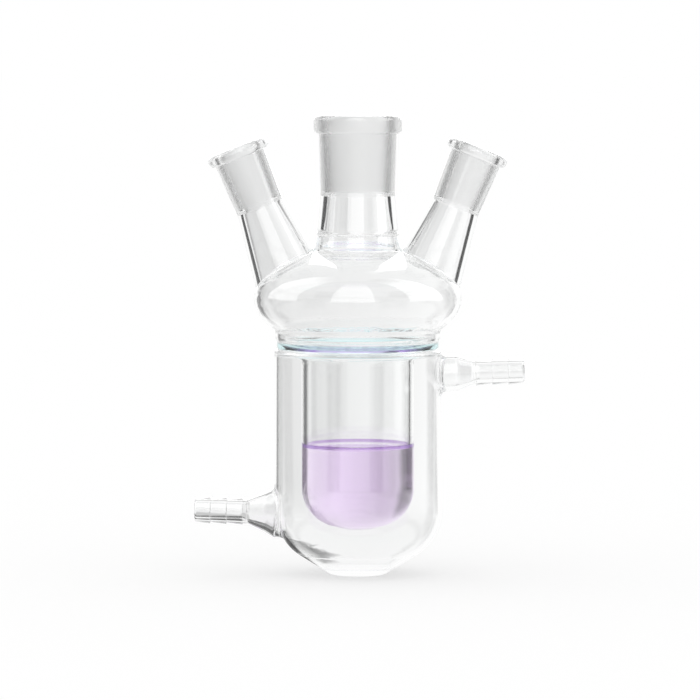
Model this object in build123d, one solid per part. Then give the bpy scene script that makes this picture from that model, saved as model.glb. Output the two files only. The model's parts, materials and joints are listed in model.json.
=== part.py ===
from build123d import *
from math import atan2, cos, degrees, radians, sin, sqrt, tan
import os

# A jacketed three-neck flask, lampworked from borosilicate tube into one piece of glass.
# Sizes are in millimetres and angles in degrees. Z points up from the centre of the foot,
# and the side necks and the hose arms lie in the XZ plane.

# Jacket: a cylinder with a dished bottom that is pressed flat into a foot
JACKET_OD = 63.1
JACKET_WALL = 1.4
JACKET_HEIGHT = 85.0  # from the foot to the top of the space inside the jacket
FOOT_OD = 20.4
FOOT_THICKNESS = 3.2
FOOT_EDGE_R = 4.0
DISH_SLOPE = 32.0  # the cone between the foot and the knuckle, from the horizontal
DISH_KNUCKLE_R = 20.0

# Inner vessel: a tube with a dished bottom, hung inside the jacket by the ring seal
VESSEL_ID = 38.8
VESSEL_WALL = 1.9
VESSEL_GAP = 13.5  # under the vessel, above the inside of the foot
VESSEL_KNUCKLE_R = 15.0
VESSEL_CROWN_R = 32.0

# Ring seal: where the vessel's flared rim, the jacket and the globe are fused
SEAL_THICKNESS = 3.4
SEAL_OD = 61.2  # the bottom of the shallow groove that sealing leaves outside
SEAL_GROOVE_DROP = 0.2  # the groove starts this far under the jacket space's top
SEAL_GROOVE_RUN = 1.0  # height over which the wall goes in, and out again
SEAL_GROOVE_R = 1.0
SEAL_CORNER_R = 1.7  # the inside corner between the seal and the waist
SEAL_LAND = 0.1  # what is left flat between that corner and the vessel's flared rim
WAIST_OD = 62.4
WAIST_WALL = 1.7
WAIST_HEIGHT = 7.7  # from the jacket space's top to the globe

# Globe: a squat bulb that carries the necks
GLOBE_OD = 78.6
GLOBE_HEIGHT = 39.4
GLOBE_WALL = 2.2
GLOBE_WAIST_R = 2.0
GLOBE_COLLAR_R = 0.8

# Ground sockets: standard tapers, 24/29 in the centre and 14/23 at the sides
TAPER = 1 / 10  # loss of diameter per length
CENTRE_BORE = 24.0
CENTRE_GROUND = 29.0
SIDE_BORE = 14.5
SIDE_GROUND = 23.0
MOUTH_R = 0.9  # the fire-polished edge of each mouth
MOUTH_LAND = 0.5  # the cut for that edge runs this far over the lip's flat top
SHOULDER_LENGTH = 1.6  # below the ground zone, where the bore opens to the thinner wall
SHOULDER_TOP_R = 0.4
SHOULDER_FOOT_R = 0.8

# Centre neck, measured down from its lip
CENTRE_NECK_LENGTH = 49.4  # from the lip to the globe's pole
CENTRE_LIP_OD = 33.3
CENTRE_LIP_HEIGHT = 7.0
CENTRE_LIP_R = 1.8
CENTRE_TUBE_OD = 29.4  # just under the lip
CENTRE_TUBE_LOW_OD = 28.1  # at the end of the ground zone
CENTRE_TUBE_WALL = 2.7
CENTRE_FLARE_OD = 30.6  # at the weld
CENTRE_FLARE_R = 8.0
WELD_DROP = 44.6  # from the lip to the middle of the weld bead
WELD_OD = 31.5
WELD_HEIGHT = 1.7
WELD_R = 0.4
COLLAR_OD = 32.2  # the globe's collar that the neck is welded to
COLLAR_WALL = 2.0
COLLAR_BORE_R = 2.0

# Side necks, one each side, measured down from their lips along their own axes
SIDE_TILT = 22.0
SIDE_REACH = 22.9  # from the flask's axis to where the neck's crosses the globe's widest plane
SIDE_NECK_LENGTH = 61.6  # from the lip to the plane of the globe's widest circle
SIDE_LIP_OD = 23.7
SIDE_LIP_HEIGHT = 4.4
SIDE_LIP_R = 1.9
SIDE_TUBE_OD = 19.7
SIDE_TUBE_LOW_OD = 18.4
SIDE_FLARE_ANGLE = 8.0  # half-angle of the clear cone under the ground zone
SIDE_FLARE_WALL = 2.5
SIDE_FLARE_R = 10.0
SIDE_WELD_R = 1.0

# Hose arms, measured along their own axes from the jacket's wall
ARM_TILT = 1.8  # both arms rise a little towards their tips
ARM_DROP = 8.7  # upper arm's axis at the wall, under the jacket space's top
ARM_RISE = 23.6  # lower arm's axis at the wall, above the foot
UPPER_REACH = 31.4
LOWER_REACH = 30.3
HOSE_BORE = 5.8
BARB_COUNT = 3
BARB_PITCH = 6.15
BARB_OD = 10.3
BARB_TIP_OD = 9.1
BARB_EDGE_R = 0.3
TIP_R = 1.0
STEM_OD = 9.4
UPPER_STEM_START = 11.6  # where the bell has narrowed to the stem
LOWER_STEM_START = 9.8
UPPER_BELL_START = 6.4  # where the bell is still wide
LOWER_BELL_START = 4.0
UPPER_BELL_OD = 13.4
LOWER_BELL_OD = 14.4
UPPER_ROOT_OD = 14.0
LOWER_ROOT_OD = 19.0
UPPER_ROOT_R = 2.2
LOWER_ROOT_R = 2.4
ARM_WALL = 1.6
ARM_BORE_RUN = 2.5  # the bell's bore narrows to the hose bore this far into the stem
ARM_BEND_R = 3.0  # where the bell meets the stem, and where it leaves the root
ARM_EDGE_R = 1.0
ARM_INNER_R = 1.2
ROOT_CLEARANCE = 1.5  # the arm's form, drawn into the jacket's space, stops this far from the vessel

# Liquid: the charge shown in the vessel
LIQUID_DEPTH = 29.65  # over the vessel's lowest point, away from the wall
MENISCUS_RISE = 1.6
MENISCUS_R = 2.6

OVERSHOOT = 2.0  # how far a cutting shape runs past the glass

jacket_r = JACKET_OD / 2
vessel_r = VESSEL_ID / 2
vessel_outer_r = vessel_r + VESSEL_WALL
vessel_bottom = FOOT_THICKNESS + VESSEL_GAP
space_width = jacket_r - JACKET_WALL - vessel_outer_r
seal_floor = JACKET_HEIGHT + SEAL_THICKNESS
waist_r = WAIST_OD / 2
globe_r = GLOBE_OD / 2
globe_half = GLOBE_HEIGHT / 2
globe_centre = JACKET_HEIGHT + WAIST_HEIGHT + globe_half * sqrt(1 - (waist_r / globe_r) ** 2)
lip_height = globe_centre + globe_half + CENTRE_NECK_LENGTH


def closed_face(corners):
    """A face from (radius, height, edge radius) corners, listed once round."""
    points = [(radius, height) for radius, height, _ in corners]
    edges = [edge for _, _, edge in corners]
    return make_face(FilletPolyline(*points, radius=edges, close=True))


def turned(face):
    """Turn a face drawn as (radius, height) about Z, with its seam at +Y, clear of every weld."""
    return revolve(Plane.YZ * face, Axis.Z)


def welded(body, added, edge_radius):
    """Join a piece to the body and round the line where they meet."""
    joined = body + added
    return joined.fillet(edge_radius, new_edges(body, added, combined=joined))


def globe(wall):
    """The globe's squat form, taken in by a wall, at its place over the waist."""
    half = EllipticalCenterArc((0, globe_centre), globe_r - wall, globe_half - wall, -90, arc_size=180)
    return turned(make_face(half + Line(half @ 1, half @ 0)))


def dish_height(radius, depth):
    """Height of the dish's cone at a radius, for a surface this deep inside the glass."""
    slope = radians(DISH_SLOPE)
    return (radius - FOOT_OD / 2) * tan(slope) + depth / cos(slope)


def jacket_outside():
    """The jacket from the foot up through the seal's groove to the waist."""
    groove_start = JACKET_HEIGHT - SEAL_GROOVE_DROP
    groove_r = SEAL_OD / 2
    return turned(closed_face([
        (0, 0, 0),
        (FOOT_OD / 2, 0, FOOT_EDGE_R),
        (jacket_r, dish_height(jacket_r, 0), DISH_KNUCKLE_R),
        (jacket_r, groove_start, SEAL_GROOVE_R),
        (groove_r, groove_start + SEAL_GROOVE_RUN, SEAL_GROOVE_R),
        (groove_r, seal_floor, SEAL_GROOVE_R),
        (waist_r, seal_floor + SEAL_GROOVE_RUN, SEAL_GROOVE_R),
        (waist_r, globe_centre, 0),
        (0, globe_centre, 0),
    ]))


def jacket_inside():
    """The space between jacket and vessel, arched over at the top by the seal."""
    wall_r = jacket_r - JACKET_WALL
    foot_rise = FOOT_THICKNESS - dish_height(FOOT_OD / 2, JACKET_WALL)
    foot_r = FOOT_OD / 2 + foot_rise / tan(radians(DISH_SLOPE))
    space = turned(closed_face([
        (0, FOOT_THICKNESS, 0),
        (foot_r, FOOT_THICKNESS, FOOT_EDGE_R),
        (wall_r, dish_height(wall_r, JACKET_WALL), DISH_KNUCKLE_R - JACKET_WALL),
        (wall_r, JACKET_HEIGHT, space_width / 4),
        (0, JACKET_HEIGHT, 0),
    ]))
    space -= vessel_outside()
    top_rings = space.edges().filter_by(GeomType.CIRCLE).group_by(Axis.Z)[-1]
    return space.fillet(space_width / 2, [top_rings.sort_by(SortBy.RADIUS)[0]])


def dish_arcs(radius, bottom, knuckle, crown):
    """A dished end from the axis out to its wall, and the point where the wall starts."""
    crown_centre = bottom + crown
    drop = sqrt((crown - knuckle) ** 2 - (radius - knuckle) ** 2)
    meeting_angle = degrees(atan2(-drop, radius - knuckle))
    crown_arc = CenterArc((0, crown_centre), crown, -90, 90 + meeting_angle)
    knuckle_arc = CenterArc((radius - knuckle, crown_centre - drop), knuckle, meeting_angle, -meeting_angle)
    return crown_arc + knuckle_arc, knuckle_arc @ 1


def vessel_outside():
    """The vessel's tube as the jacket space sees it, up into the seal."""
    arcs, wall_start = dish_arcs(vessel_outer_r, vessel_bottom, VESSEL_KNUCKLE_R, VESSEL_CROWN_R)
    tube = Polyline(wall_start, (vessel_outer_r, seal_floor), (0, seal_floor), (0, vessel_bottom))
    return turned(make_face(arcs + tube))


def vessel_dish():
    """The vessel's inner dish: the outer one taken in by the wall."""
    return dish_arcs(
        vessel_r,
        vessel_bottom + VESSEL_WALL,
        VESSEL_KNUCKLE_R - VESSEL_WALL,
        VESSEL_CROWN_R - VESSEL_WALL,
    )


def vessel_inside():
    """The hollow of the vessel, its flared rim and the waist, up to the globe's centre."""
    arcs, wall_start = vessel_dish()
    waist_inner_r = waist_r - WAIST_WALL
    rim_r = waist_inner_r - vessel_r - SEAL_CORNER_R - SEAL_LAND
    wall = FilletPolyline(
        wall_start,
        (vessel_r, seal_floor),
        (waist_inner_r, seal_floor),
        (waist_inner_r, globe_centre),
        (0, globe_centre),
        radius=[rim_r, SEAL_CORNER_R, 0],
    )
    return turned(make_face(arcs + wall + Line(wall @ 1, arcs @ 0)))


def neck_bore(bore, ground, clear_r, rest):
    """A neck's hollow from over its lip down: mouth, ground taper, shoulder and what follows."""
    land_r = bore / 2 + MOUTH_R + MOUTH_LAND
    return turned(closed_face([
        (0, OVERSHOOT, 0),
        (land_r, OVERSHOOT, 0),
        (land_r, 0, 0),
        (bore / 2, 0, MOUTH_R),
        ((bore - ground * TAPER) / 2, -ground, SHOULDER_TOP_R),
        (clear_r, -ground - SHOULDER_LENGTH, SHOULDER_FOOT_R),
        *rest,
    ]))


def centre_neck():
    """The centre neck's outside and its hollow, in place on the globe."""
    end = CENTRE_NECK_LENGTH + globe_half / 2  # inside the globe's hollow, which cuts it off
    weld_top = WELD_HEIGHT / 2 - WELD_DROP
    weld_foot = -WELD_HEIGHT / 2 - WELD_DROP
    flare_r = CENTRE_FLARE_OD / 2
    collar_r = COLLAR_OD / 2
    outside = turned(closed_face([
        (0, 0, 0),
        (CENTRE_LIP_OD / 2, 0, CENTRE_LIP_R),
        (CENTRE_LIP_OD / 2, -CENTRE_LIP_HEIGHT, CENTRE_LIP_R),
        (CENTRE_TUBE_OD / 2, -CENTRE_LIP_HEIGHT, 0),
        (CENTRE_TUBE_LOW_OD / 2, -CENTRE_GROUND, CENTRE_FLARE_R),
        (flare_r, weld_top, WELD_R),
        (WELD_OD / 2, -WELD_DROP, WELD_R),
        (flare_r, weld_foot, WELD_R),
        (collar_r, -CENTRE_NECK_LENGTH, 0),
        (collar_r, -end, 0),
        (0, -end, 0),
    ]))
    hollow = neck_bore(CENTRE_BORE, CENTRE_GROUND, CENTRE_TUBE_LOW_OD / 2 - CENTRE_TUBE_WALL, [
        (flare_r - CENTRE_TUBE_WALL, weld_top, COLLAR_BORE_R),
        (collar_r - COLLAR_WALL, weld_foot, COLLAR_BORE_R),
        (collar_r - COLLAR_WALL, -end, 0),
        (0, -end, 0),
    ])
    place = Pos(0, 0, lip_height)
    return place * outside, place * hollow


def side_neck(side):
    """A side neck's outside and its hollow, in place; side is 1 towards +X and -1 towards -X."""
    end = SIDE_NECK_LENGTH - globe_half / 4  # inside the globe's hollow, which cuts it off
    flare_start = SIDE_GROUND + SHOULDER_LENGTH
    widening = tan(radians(SIDE_FLARE_ANGLE))
    low_r = SIDE_TUBE_LOW_OD / 2
    end_r = low_r + (end - flare_start) * widening
    outside = turned(closed_face([
        (0, 0, 0),
        (SIDE_LIP_OD / 2, 0, SIDE_LIP_R),
        (SIDE_LIP_OD / 2, -SIDE_LIP_HEIGHT, SIDE_LIP_R),
        (SIDE_TUBE_OD / 2, -SIDE_LIP_HEIGHT, 0),
        (low_r, -flare_start, SIDE_FLARE_R),
        (end_r, -end, 0),
        (0, -end, 0),
    ]))
    bore_end_r = low_r + (SIDE_NECK_LENGTH - flare_start) * widening - SIDE_FLARE_WALL
    hollow = neck_bore(SIDE_BORE, SIDE_GROUND, low_r - SIDE_FLARE_WALL, [
        (bore_end_r, -SIDE_NECK_LENGTH, 0),
        (0, -SIDE_NECK_LENGTH, 0),
    ])
    lean = radians(SIDE_TILT)
    lip_x = side * (SIDE_REACH + SIDE_NECK_LENGTH * sin(lean))
    lip_z = globe_centre + SIDE_NECK_LENGTH * cos(lean)
    place = Pos(lip_x, 0, lip_z) * Rot(0, side * SIDE_TILT, 0)
    return place * outside, place * hollow


def hose_arm(side, height, reach, root_od, bell_od, bell_start, stem_start):
    """A hose arm's outside and its hollow, in place; height is where its axis leaves the wall."""
    root_r = root_od / 2
    root_depth = JACKET_WALL + space_width - ROOT_CLEARANCE  # inside the jacket's space
    barbs_start = reach - BARB_COUNT * BARB_PITCH
    valleys = [STEM_OD / 2] + [BARB_TIP_OD / 2] * (BARB_COUNT - 1)
    barbs = []
    for count, valley_r in enumerate(valleys):
        start = barbs_start + count * BARB_PITCH
        barbs += [(valley_r, start, 0), (BARB_OD / 2, start, BARB_EDGE_R)]
    outside = turned(closed_face([
        (0, -root_depth, 0),
        (root_r, -root_depth, 0),
        (root_r, 0, ARM_EDGE_R),
        (bell_od / 2, bell_start, ARM_BEND_R),
        (STEM_OD / 2, stem_start, ARM_BEND_R),
        *barbs,
        (BARB_TIP_OD / 2, reach, TIP_R),
        (0, reach, 0),
    ]))
    hollow = turned(closed_face([
        (0, -root_depth, 0),
        (root_r - ARM_WALL, -root_depth, 0),
        (root_r - ARM_WALL, -JACKET_WALL / 2, ARM_EDGE_R),
        (bell_od / 2 - ARM_WALL, bell_start - ARM_WALL / 2, ARM_BEND_R),
        (HOSE_BORE / 2, stem_start + ARM_BORE_RUN, ARM_BEND_R),
        (HOSE_BORE / 2, reach + OVERSHOOT, 0),
        (0, reach + OVERSHOOT, 0),
    ]))
    place = Pos(side * jacket_r, 0, height) * Rot(0, side * (90 - ARM_TILT), 0)
    return place * outside, place * hollow


def upper_arm():
    """The coolant outlet, just under the seal on the +X side."""
    height = JACKET_HEIGHT - ARM_DROP
    bell = (UPPER_BELL_OD, UPPER_BELL_START)
    return hose_arm(1, height, UPPER_REACH, UPPER_ROOT_OD, *bell, UPPER_STEM_START)


def lower_arm():
    """The coolant inlet, at the dish's knuckle on the -X side."""
    bell = (LOWER_BELL_OD, LOWER_BELL_START)
    return hose_arm(-1, ARM_RISE, LOWER_REACH, LOWER_ROOT_OD, *bell, LOWER_STEM_START)


def flask_body():
    """All of the glass: the outside with its two hollows cut out of it."""
    outside = jacket_outside()
    space = jacket_inside()
    for (arm, bore), weld_r in ((upper_arm(), UPPER_ROOT_R), (lower_arm(), LOWER_ROOT_R)):
        outside = welded(outside, arm, weld_r)
        space = welded(space, bore, ARM_INNER_R)
    outside = welded(outside, globe(0), GLOBE_WAIST_R)
    vessel = welded(vessel_inside(), globe(GLOBE_WALL), GLOBE_WAIST_R)
    necks = ((side_neck(-1), SIDE_WELD_R), (side_neck(1), SIDE_WELD_R), (centre_neck(), GLOBE_COLLAR_R))
    for (neck, bore), weld_r in necks:
        outside = welded(outside, neck, weld_r)
        vessel = welded(vessel, bore, weld_r)
    return outside - vessel - space


def liquid():
    """The charge, with the meniscus that climbs the vessel's wall."""
    arcs, wall_start = vessel_dish()
    level = vessel_bottom + VESSEL_WALL + LIQUID_DEPTH
    bend = atan2(sqrt(MENISCUS_R**2 - (MENISCUS_R - MENISCUS_RISE) ** 2), MENISCUS_R - MENISCUS_RISE)
    meniscus_centre = (vessel_r - MENISCUS_R * sin(bend), level + MENISCUS_R)
    meniscus = CenterArc(meniscus_centre, MENISCUS_R, -90, degrees(bend))
    wall = Line(wall_start, meniscus @ 1)
    surface = Line((0, level), meniscus @ 0)
    return turned(make_face(arcs + wall + meniscus + surface + Line((0, level), arcs @ 0)))


os.makedirs("parts", exist_ok=True)
parts = {"flask_body": flask_body(), "liquid": liquid()}
for name, part in parts.items():
    export_step(part, f"parts/{name}.step")
    print(name, "solids", len(part.solids()), "volume", round(part.volume, 1))
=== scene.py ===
import json
from math import atan2, cos, pi, radians, sin, sqrt

import bmesh
import bpy
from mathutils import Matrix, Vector


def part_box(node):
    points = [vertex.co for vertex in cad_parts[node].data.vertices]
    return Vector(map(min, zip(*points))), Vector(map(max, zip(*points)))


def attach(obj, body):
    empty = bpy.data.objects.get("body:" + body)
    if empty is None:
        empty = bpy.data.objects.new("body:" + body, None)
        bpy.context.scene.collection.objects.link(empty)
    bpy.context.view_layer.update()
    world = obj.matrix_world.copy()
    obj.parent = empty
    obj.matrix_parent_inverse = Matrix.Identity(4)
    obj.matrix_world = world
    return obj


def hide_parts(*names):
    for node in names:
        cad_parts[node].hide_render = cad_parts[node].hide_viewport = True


# Looks for the jacketed three-neck flask. Lengths are in metres, in the CAD part's frame:
# Z up from the centre of the foot, side necks and hose arms in the XZ plane, camera on -Y.

MM = 0.001
UP = Vector((0, 0, 1))
BACKWARD = Vector((0, 1, 0))
WHITE = (1, 1, 1, 1)

# Camera: a long lens, a little above the middle of the flask
PICTURE_WIDTH = 264.6 * MM  # what the square picture spans at the flask's axis
PICTURE_CENTRE = Vector((-2.95 * MM, 0, 85.05 * MM))
LENS = 250.0
SENSOR = 36.0
ELEVATION = radians(3.75)
CLIP_END = 100
BOUNCES = 96  # light crosses dozens of surfaces in the jacket, the vessel and the liquid

# Glass, and the thick fused glass of the ring seal
GLASS_IOR = 1.473
GLASS_TINT = (0.995, 0.998, 0.997)
RING_TINT = (0.62, 0.89, 0.91)
RING_LOW = 85.6 * MM
RING_HIGH = 88.4 * MM
RING_BLUR = 0.5 * MM

# Ground zones: the sockets' bores at their lips, and how far down them the grinding reaches
TAPER = 1 / 10  # on the diameter
CENTRE_BORE = 24.0 * MM
CENTRE_GROUND = 29.0 * MM
SIDE_BORE = 14.5 * MM
SIDE_GROUND = 23.0 * MM
FROST_START = 0.4 * MM
FROST_RISE = 4.5 * MM  # the depth at which the grinding has its full roughness
FROST_ROUGHNESS = 0.42
CENTRE_FROST_LEAST = 1.0  # how much of that it has at the mouth
SIDE_FROST_LEAST = 0.35
BORE_SKIN = 0.35 * MM  # how far outside the bore's radius the glass still counts as bore
ZONE_BLUR = 0.25 * MM

# Liquid: the vessel's dish, its crown and its knuckle, and the meniscus at the wall
DISH_KNUCKLE_R = 13.1 * MM
DISH_CROWN_R = 30.1 * MM
MENISCUS_R = 2.6 * MM
MENISCUS_RISE = 1.6 * MM
LIQUID_OVERLAP = 0.12 * MM  # how far its surface reaches into the glass
DISH_STEPS = 24
MENISCUS_STEPS = 16
CHARGE_STEPS = 192
SHARP_ANGLE = radians(30)
LIQUID_IOR = 1.333
LIQUID_COLOUR = (0.69, 0.26, 0.89)
LIQUID_DENSITY = 12.5
# painted shade: the meniscus is tinted deeper purple, from the level up over a soft edge, for the
# dark band at the liquid's top
MENISCUS_SHADE_COLOUR = (0.58, 0.42, 0.74)
MENISCUS_SHADE_BLUR = MENISCUS_RISE / 3

# Studio: a light tent of four panels with dark gaps between them, and a softbox in each panel.
# Directions are unit vectors: a height is the sine of an elevation, and "around" is the cosine
# of four times the bearing, 1 in the middle of a panel and -1 in the middle of a gap. A depth
# is how much darker than white something is, and a blur is how softly its edge ends.
PANELS = 4
PANEL_SHADE = 0.30  # the depth of a panel's left side
PANEL_SLOPE = 0.67  # where that starts and ends, as the sine of four times the bearing
STEEP_SHADE = 0.10  # the depth of the table and the roof
LEVEL_EDGE = 0.42  # how far up or down the panels' shading and the gaps reach
LEVEL_BLUR = 0.2
GAP_TURN = radians(6)  # how far the gaps are turned from the corners
GAP_EDGE = -0.37
GAP_BLUR = 0.35
GAP_DEPTH = 0.8
EAVES_LOW = 0.55
EAVES_HIGH = 0.84
EAVES_BLUR = 0.1
EAVES_DEPTH = 0.6
TABLE_END = 0.28  # the table's left and right ends, from this far to the side
TABLE_DROP = 0.4  # and from this far below level
TABLE_SHARE = 0.7  # their part of the eaves' depth
PANEL_TOP = 0.28  # mirrored in the glass, it is dark from here up to the roof's edge
ROOF_EDGE = 0.55
ROOM_BLUR = 0.15
REPEAT_FADE = 0.7  # how much that dark and the gaps fade when they are reflected again
SOFTBOX_LIGHT = 3.2
SOFTBOX_SIDE = -0.15
SOFTBOX_LOW = 0.0
SOFTBOX_HIGH = 0.97
SOFTBOX_BLUR = 0.1

# Floor, with a painted shadow of the flask behind it, a dark spot that shows through the jacket's
# dish
FLOOR_SIZE = 40
FLOOR_ALBEDO = 0.35
# painted shadow of the flask on the floor: where it lies, how wide, how soft and how dark
SHADOW_PATCH_CENTRE = (-36 * MM, 30 * MM, 0)
SHADOW_PATCH_RADIUS = 30 * MM
SHADOW_PATCH_BLUR = 8 * MM
SHADOW_PATCH_DEPTH = 0.9

# Sockets of a Mix node that mixes colours, by number because several share a name
MIX_FACTOR, MIX_FIRST, MIX_SECOND, MIX_RESULT = 0, 6, 7, 2

# Light Path's counts. The world counts one ray more than the floor.
OUTER_RAYS = 2.5  # light off the glass's outer surface has fewer
ONE_REFLECTION = 1.5  # light that is reflected again has more


def material(name):
    """A new material and its empty node tree."""
    made = bpy.data.materials.new(name)
    made.use_nodes = True
    tree = made.node_tree
    tree.nodes.clear()
    return made, tree


def node(tree, kind, **values):
    """Add a node; values set its settings, or its sockets by name, with _ for a space."""
    added = tree.nodes.new(kind)
    for key, value in values.items():
        if hasattr(added, key):
            setattr(added, key, value)
        else:
            added.inputs[key.replace("_", " ")].default_value = value
    return added


def output(tree, kind, **sources):
    """Add an output node and link what it shows, by socket."""
    added = node(tree, kind)
    for socket, source in sources.items():
        tree.links.new(source.outputs[0], added.inputs[socket])


def calc(tree, operation, *inputs, clamp=False):
    """A Math node's output; each input is a number or another node's output."""
    made = node(tree, "ShaderNodeMath", operation=operation, use_clamp=clamp)
    for socket, value in zip(made.inputs, inputs):
        if isinstance(value, (int, float)):
            socket.default_value = value
        else:
            tree.links.new(value, socket)
    return made.outputs[0]


def vector_calc(tree, operation, vector, fixed=None):
    """A Vector Math node; vector is another node's output and fixed is a constant."""
    made = node(tree, "ShaderNodeVectorMath", operation=operation)
    tree.links.new(vector, made.inputs[0])
    if fixed is not None:
        made.inputs[1].default_value = fixed
    return made


def surface_position(tree):
    return node(tree, "ShaderNodeNewGeometry").outputs["Position"]


def along(tree, vector, direction, offset=0.0):
    """How far a vector reaches along a direction, less an offset."""
    reach = vector_calc(tree, "DOT_PRODUCT", vector, direction).outputs["Value"]
    return calc(tree, "SUBTRACT", reach, offset)


def ramp(tree, value, start, blur):
    """0 up to start, rising to 1 over the blur. A negative blur makes it fall to 0 at start."""
    return calc(tree, "MULTIPLY_ADD", value, 1 / blur, -start / blur, clamp=True)


def band(tree, value, low, high, blur):
    """1 between low and high, falling to 0 at both over the blur."""
    return calc(tree, "MULTIPLY", ramp(tree, value, low, blur), ramp(tree, value, high, -blur))


def darkened(tree, amount, depth=1.0):
    """1 less an amount times a depth."""
    return calc(tree, "MULTIPLY_ADD", amount, -depth, 1.0)


def tint(tree, amount, clear, tinted):
    """A colour from clear to tinted, by an amount from 0 to 1."""
    mixed = node(tree, "ShaderNodeMix", data_type="RGBA")
    mixed.inputs[MIX_FIRST].default_value = (*clear, 1)
    mixed.inputs[MIX_SECOND].default_value = (*tinted, 1)
    tree.links.new(amount, mixed.inputs[MIX_FACTOR])
    return mixed.outputs[MIX_RESULT]


def ground_zone(tree, position, socket, bore, ground, least):
    """How ground the bore of one neck is, from least at its mouth to 1 where the grinding has
    its full roughness; socket is the mount at its mouth."""
    lip, axis = Vector(socket["pos_m"]), Vector(socket["axis"])
    across = axis.cross(BACKWARD)
    depth = calc(tree, "MULTIPLY", along(tree, position, axis, axis.dot(lip)), -1.0)
    side = along(tree, position, across, across.dot(lip))
    front = along(tree, position, BACKWARD)
    square = calc(tree, "ADD", calc(tree, "POWER", side, 2.0), calc(tree, "POWER", front, 2.0))
    bore_radius = calc(tree, "MULTIPLY_ADD", depth, -TAPER / 2, bore / 2 + BORE_SKIN)
    inside = calc(tree, "LESS_THAN", calc(tree, "SQRT", square), bore_radius)
    zone = calc(tree, "MULTIPLY", inside, band(tree, depth, FROST_START, ground, ZONE_BLUR))
    grown = calc(tree, "MULTIPLY", depth, 1 / FROST_RISE, clamp=True)
    return calc(tree, "MULTIPLY", zone, calc(tree, "MULTIPLY_ADD", grown, 1.0 - least, least))


def clear_glass(sockets):
    """Borosilicate glass: frosted in the ground zones and tinted at the ring seal."""
    made, tree = material("clear_glass")
    position = surface_position(tree)
    centre = (CENTRE_BORE, CENTRE_GROUND, CENTRE_FROST_LEAST)
    side = (SIDE_BORE, SIDE_GROUND, SIDE_FROST_LEAST)
    zones = ground_zone(tree, position, sockets["centre_socket"], *centre)
    for name in ("right_socket", "left_socket"):
        zones = calc(tree, "MAXIMUM", zones, ground_zone(tree, position, sockets[name], *side))
    ring = band(tree, along(tree, position, UP), RING_LOW, RING_HIGH, RING_BLUR)
    shader = node(tree, "ShaderNodeBsdfPrincipled", IOR=GLASS_IOR, Transmission_Weight=1.0)
    tree.links.new(tint(tree, ring, GLASS_TINT, RING_TINT), shader.inputs["Base Color"])
    tree.links.new(calc(tree, "MULTIPLY", zones, FROST_ROUGHNESS), shader.inputs["Roughness"])
    output(tree, "ShaderNodeOutputMaterial", Surface=shader)
    return made


def purple_liquid(level):
    """A clear purple liquid, coloured through its depth, with painted shade in its meniscus."""
    made, tree = material("purple_liquid")
    shader = node(
        tree, "ShaderNodeBsdfPrincipled", IOR=LIQUID_IOR, Roughness=0.0, Transmission_Weight=1.0
    )
    # painted shade: the surface turns deeper purple from the level up, over the meniscus
    meniscus = ramp(tree, along(tree, surface_position(tree), UP), level, MENISCUS_SHADE_BLUR)
    colour = tint(tree, meniscus, WHITE[:3], MENISCUS_SHADE_COLOUR)
    tree.links.new(colour, shader.inputs["Base Color"])
    depth = node(
        tree, "ShaderNodeVolumeAbsorption", Density=LIQUID_DENSITY, Color=(*LIQUID_COLOUR, 1)
    )
    output(tree, "ShaderNodeOutputMaterial", Surface=shader, Volume=depth)
    return made


def lathe(name, outline, steps):
    """A closed solid turned about Z from (radius, height) points that start and end on it."""
    built = bmesh.new()
    rings = []
    for radius, height in outline:
        if radius == 0:
            rings.append([built.verts.new((0, 0, height))])
            continue
        angles = [2 * pi * step / steps for step in range(steps)]
        rings.append([built.verts.new((radius * cos(a), radius * sin(a), height)) for a in angles])
    for lower, upper in zip(rings, rings[1:]):
        for step in range(steps):
            after = (step + 1) % steps
            corners = [lower[step % len(lower)], lower[after % len(lower)]]
            corners += [upper[after % len(upper)], upper[step % len(upper)]]
            built.faces.new(list(dict.fromkeys(corners)))
    bmesh.ops.recalc_face_normals(built, faces=built.faces)
    mesh = bpy.data.meshes.new(name)
    built.to_mesh(mesh)
    built.free()
    mesh.shade_smooth()
    mesh.set_sharp_from_angle(angle=SHARP_ANGLE)
    made = bpy.data.objects.new(name, mesh)
    bpy.context.scene.collection.objects.link(made)
    return made


def arc(centre, radius, start, end, steps):
    """Points of an arc as (radius, height), with angles in radians from +r."""
    turns = [start + (end - start) * step / steps for step in range(steps + 1)]
    return [(centre[0] + radius * cos(turn), centre[1] + radius * sin(turn)) for turn in turns]


def liquid_outline(radius, bottom, level):
    """The charge's section: the vessel's dish, its wall and the meniscus."""
    crown_centre = bottom + DISH_CROWN_R
    knuckle = radius - DISH_KNUCKLE_R
    drop = sqrt((DISH_CROWN_R - DISH_KNUCKLE_R) ** 2 - knuckle**2)
    meeting = atan2(-drop, knuckle)
    points = arc((0, crown_centre), DISH_CROWN_R + LIQUID_OVERLAP, -pi / 2, meeting, DISH_STEPS)
    points[0] = (0, points[0][1])
    knuckle_centre = (knuckle, crown_centre - drop)
    points += arc(knuckle_centre, DISH_KNUCKLE_R + LIQUID_OVERLAP, meeting, 0, DISH_STEPS)[1:]

    fall = MENISCUS_R - MENISCUS_RISE
    bend = atan2(sqrt(MENISCUS_R**2 - fall**2), fall)
    centre = (radius - MENISCUS_R * sin(bend), level + MENISCUS_R)
    meniscus = arc(centre, MENISCUS_R, bend - pi / 2, -pi / 2, MENISCUS_STEPS)
    meniscus[0] = (radius + LIQUID_OVERLAP, meniscus[0][1])
    return points + meniscus + [(0, level)]


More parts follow.
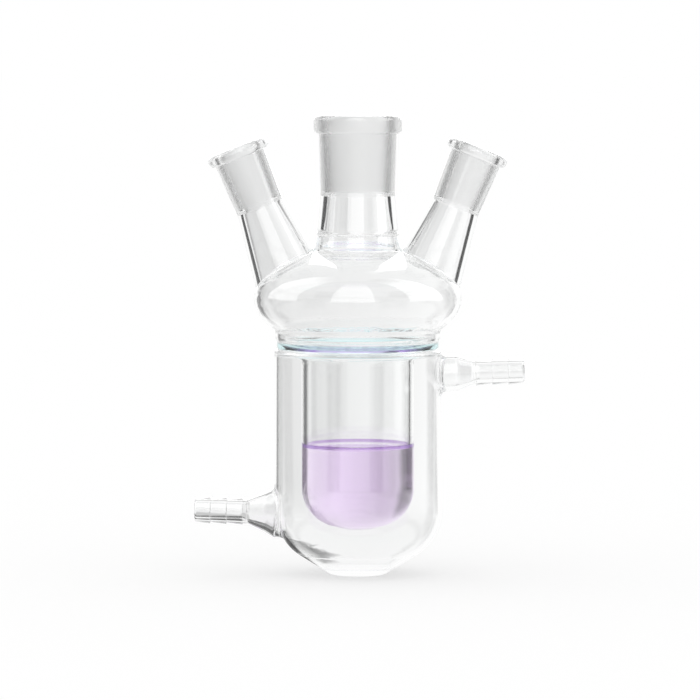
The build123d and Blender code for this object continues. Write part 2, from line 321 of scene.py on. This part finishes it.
def room_light(tree, direction, path):
    """How bright the glass shows the tent in a direction: the four panels, which shade from
    side to side, the dark gaps between them, and the dark eaves and table ends over and under
    them. What it mirrors has a dark band over the panels, or the softboxes where its outer
    surface mirrors them."""
    split = node(tree, "ShaderNodeSeparateXYZ")
    tree.links.new(direction, split.inputs[0])
    height, bearing = split.outputs["Z"], (split.outputs["X"], split.outputs["Y"])
    level = ramp(tree, calc(tree, "ABSOLUTE", height), LEVEL_EDGE, -LEVEL_BLUR)
    fourfold = calc(tree, "MULTIPLY", calc(tree, "ARCTAN2", *bearing), PANELS)
    around = calc(tree, "COSINE", calc(tree, "SUBTRACT", fourfold, PANELS * GAP_TURN))
    gaps = calc(tree, "MULTIPLY", ramp(tree, around, GAP_EDGE, -GAP_BLUR), level)

    # Through the glass
    across = ramp(tree, calc(tree, "SINE", fourfold), -PANEL_SLOPE, 2 * PANEL_SLOPE)
    shade = calc(tree, "MULTIPLY_ADD", across, -PANEL_SHADE, PANEL_SHADE - STEEP_SHADE)
    slope = darkened(tree, calc(tree, "MULTIPLY_ADD", shade, level, STEEP_SHADE))
    ends = ramp(tree, calc(tree, "ABSOLUTE", split.outputs["X"]), TABLE_END, EAVES_BLUR)
    ends = calc(tree, "MULTIPLY", ends, ramp(tree, height, -TABLE_DROP, -EAVES_BLUR))
    ends = calc(tree, "MULTIPLY", ends, TABLE_SHARE)
    eaves = calc(tree, "MAXIMUM", ends, band(tree, height, EAVES_LOW, EAVES_HIGH, EAVES_BLUR))
    walls = calc(tree, "MULTIPLY", slope, darkened(tree, gaps, GAP_DEPTH))
    walls = calc(tree, "MULTIPLY", walls, darkened(tree, eaves, EAVES_DEPTH))

    # Mirrored by the glass
    outer = calc(tree, "LESS_THAN", path.outputs["Ray Depth"], OUTER_RAYS)
    outer = calc(tree, "MULTIPLY", outer, path.outputs["Is Glossy Ray"])
    often = calc(tree, "GREATER_THAN", path.outputs["Glossy Depth"], ONE_REFLECTION)
    dark = calc(tree, "MAXIMUM", gaps, band(tree, height, PANEL_TOP, ROOF_EDGE, ROOM_BLUR))
    dark = calc(tree, "MULTIPLY", dark, darkened(tree, often, REPEAT_FADE))
    dark = calc(tree, "MULTIPLY", dark, darkened(tree, outer))
    softbox = calc(tree, "MULTIPLY", ramp(tree, around, SOFTBOX_SIDE, SOFTBOX_BLUR), outer)
    high = band(tree, height, SOFTBOX_LOW, SOFTBOX_HIGH, SOFTBOX_BLUR)
    softbox = calc(tree, "MULTIPLY", softbox, high)
    mirrored = calc(tree, "MULTIPLY_ADD", softbox, SOFTBOX_LIGHT, darkened(tree, dark))

    bounced = calc(tree, "MINIMUM", path.outputs["Glossy Depth"], 1.0)
    change = calc(tree, "MULTIPLY", calc(tree, "SUBTRACT", mirrored, walls), bounced)
    return calc(tree, "ADD", walls, change)


def by_glass(tree, path):
    """1 for light that reaches a surface through or off the glass."""
    through, off = path.outputs["Is Transmission Ray"], path.outputs["Is Glossy Ray"]
    return calc(tree, "ADD", through, off, clamp=True)


def floor():
    """A pale floor that keeps the flask's shadow and reads as white. The glass shows the
    tent's lower part in it, and a painted shadow of the flask behind it."""
    made, tree = material("floor")
    path = node(tree, "ShaderNodeLightPath")
    albedo = (FLOOR_ALBEDO, FLOOR_ALBEDO, FLOOR_ALBEDO, 1)
    diffuse = node(tree, "ShaderNodeBsdfDiffuse", Color=albedo)
    glow = node(tree, "ShaderNodeEmission", Color=WHITE)
    glowing = calc(tree, "MULTIPLY", path.outputs["Is Camera Ray"], 1 - FLOOR_ALBEDO)
    tree.links.new(glowing, glow.inputs["Strength"])
    lit = node(tree, "ShaderNodeAddShader")
    tree.links.new(diffuse.outputs[0], lit.inputs[0])
    tree.links.new(glow.outputs[0], lit.inputs[1])

    position = surface_position(tree)
    from_flask = vector_calc(tree, "SUBTRACT", position, (0, 0, PICTURE_CENTRE.z))
    outward = vector_calc(tree, "NORMALIZE", from_flask.outputs["Vector"]).outputs["Vector"]
    # painted shadow: the light the floor gives the glass is darkened behind the flask, where its
    # own shadow falls
    away = vector_calc(tree, "DISTANCE", position, SHADOW_PATCH_CENTRE).outputs["Value"]
    shadow_patch = darkened(tree, ramp(tree, away, SHADOW_PATCH_RADIUS, -SHADOW_PATCH_BLUR), SHADOW_PATCH_DEPTH)
    room = node(tree, "ShaderNodeEmission", Color=WHITE)
    shadowed_room = calc(tree, "MULTIPLY", room_light(tree, outward, path), shadow_patch)
    tree.links.new(shadowed_room, room.inputs["Strength"])

    mixed = node(tree, "ShaderNodeMixShader")
    tree.links.new(by_glass(tree, path), mixed.inputs[0])
    tree.links.new(lit.outputs[0], mixed.inputs[1])
    tree.links.new(room.outputs[0], mixed.inputs[2])
    output(tree, "ShaderNodeOutputMaterial", Surface=mixed)

    bpy.ops.mesh.primitive_plane_add(size=FLOOR_SIZE, location=(0, 0, 0))
    plane = bpy.context.object
    plane.name = "floor"
    plane.data.materials.append(made)


def surroundings():
    """A white studio, with the tent's lights and darks kept for what the glass shows."""
    world = bpy.data.worlds.new("studio")
    bpy.context.scene.world = world
    world.use_nodes = True
    tree = world.node_tree
    tree.nodes.clear()
    path = node(tree, "ShaderNodeLightPath")
    direction = node(tree, "ShaderNodeTexCoord").outputs["Generated"]
    less_white = calc(tree, "SUBTRACT", room_light(tree, direction, path), 1.0)
    strength = calc(tree, "MULTIPLY_ADD", less_white, by_glass(tree, path), 1.0)
    background = node(tree, "ShaderNodeBackground", Color=WHITE)
    tree.links.new(strength, background.inputs["Strength"])
    output(tree, "ShaderNodeOutputWorld", Surface=background)


def camera():
    """A long-lens camera that frames the flask as a square picture."""
    data = bpy.data.cameras.new("camera")
    data.lens = LENS
    data.sensor_width = SENSOR
    data.sensor_fit = "HORIZONTAL"
    data.clip_end = CLIP_END
    made = bpy.data.objects.new("camera", data)
    bpy.context.scene.collection.objects.link(made)
    distance = PICTURE_WIDTH * LENS / SENSOR
    offset = Vector((0, -distance * cos(ELEVATION), distance * sin(ELEVATION)))
    made.location = PICTURE_CENTRE + offset
    made.rotation_euler = (pi / 2 - ELEVATION, 0, 0)
    bpy.context.scene.camera = made


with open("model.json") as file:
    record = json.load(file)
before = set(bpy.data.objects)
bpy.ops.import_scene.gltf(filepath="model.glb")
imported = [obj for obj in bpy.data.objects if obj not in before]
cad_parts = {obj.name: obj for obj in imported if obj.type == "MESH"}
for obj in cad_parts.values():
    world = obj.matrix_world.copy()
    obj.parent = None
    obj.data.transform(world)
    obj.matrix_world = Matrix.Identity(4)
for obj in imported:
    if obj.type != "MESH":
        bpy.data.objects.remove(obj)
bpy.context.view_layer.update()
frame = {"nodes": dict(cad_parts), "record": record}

sockets = {mount["name"]: mount for mount in frame["record"]["mounts"]}
frame["nodes"]["flask_body"].data.materials[0] = clear_glass(sockets)

lowest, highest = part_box("liquid")
level = highest[2] - MENISCUS_RISE
outline = liquid_outline(highest[0], lowest[2], level)
charge = lathe("purple_charge", outline, CHARGE_STEPS)
charge.data.materials.append(purple_liquid(level))
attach(charge, "root")
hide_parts("liquid")

floor()
surroundings()
camera()

scene = bpy.context.scene
scene.view_settings.view_transform = "Standard"
scene.cycles.max_bounces = BOUNCES
scene.cycles.transmission_bounces = BOUNCES
scene.cycles.glossy_bounces = BOUNCES
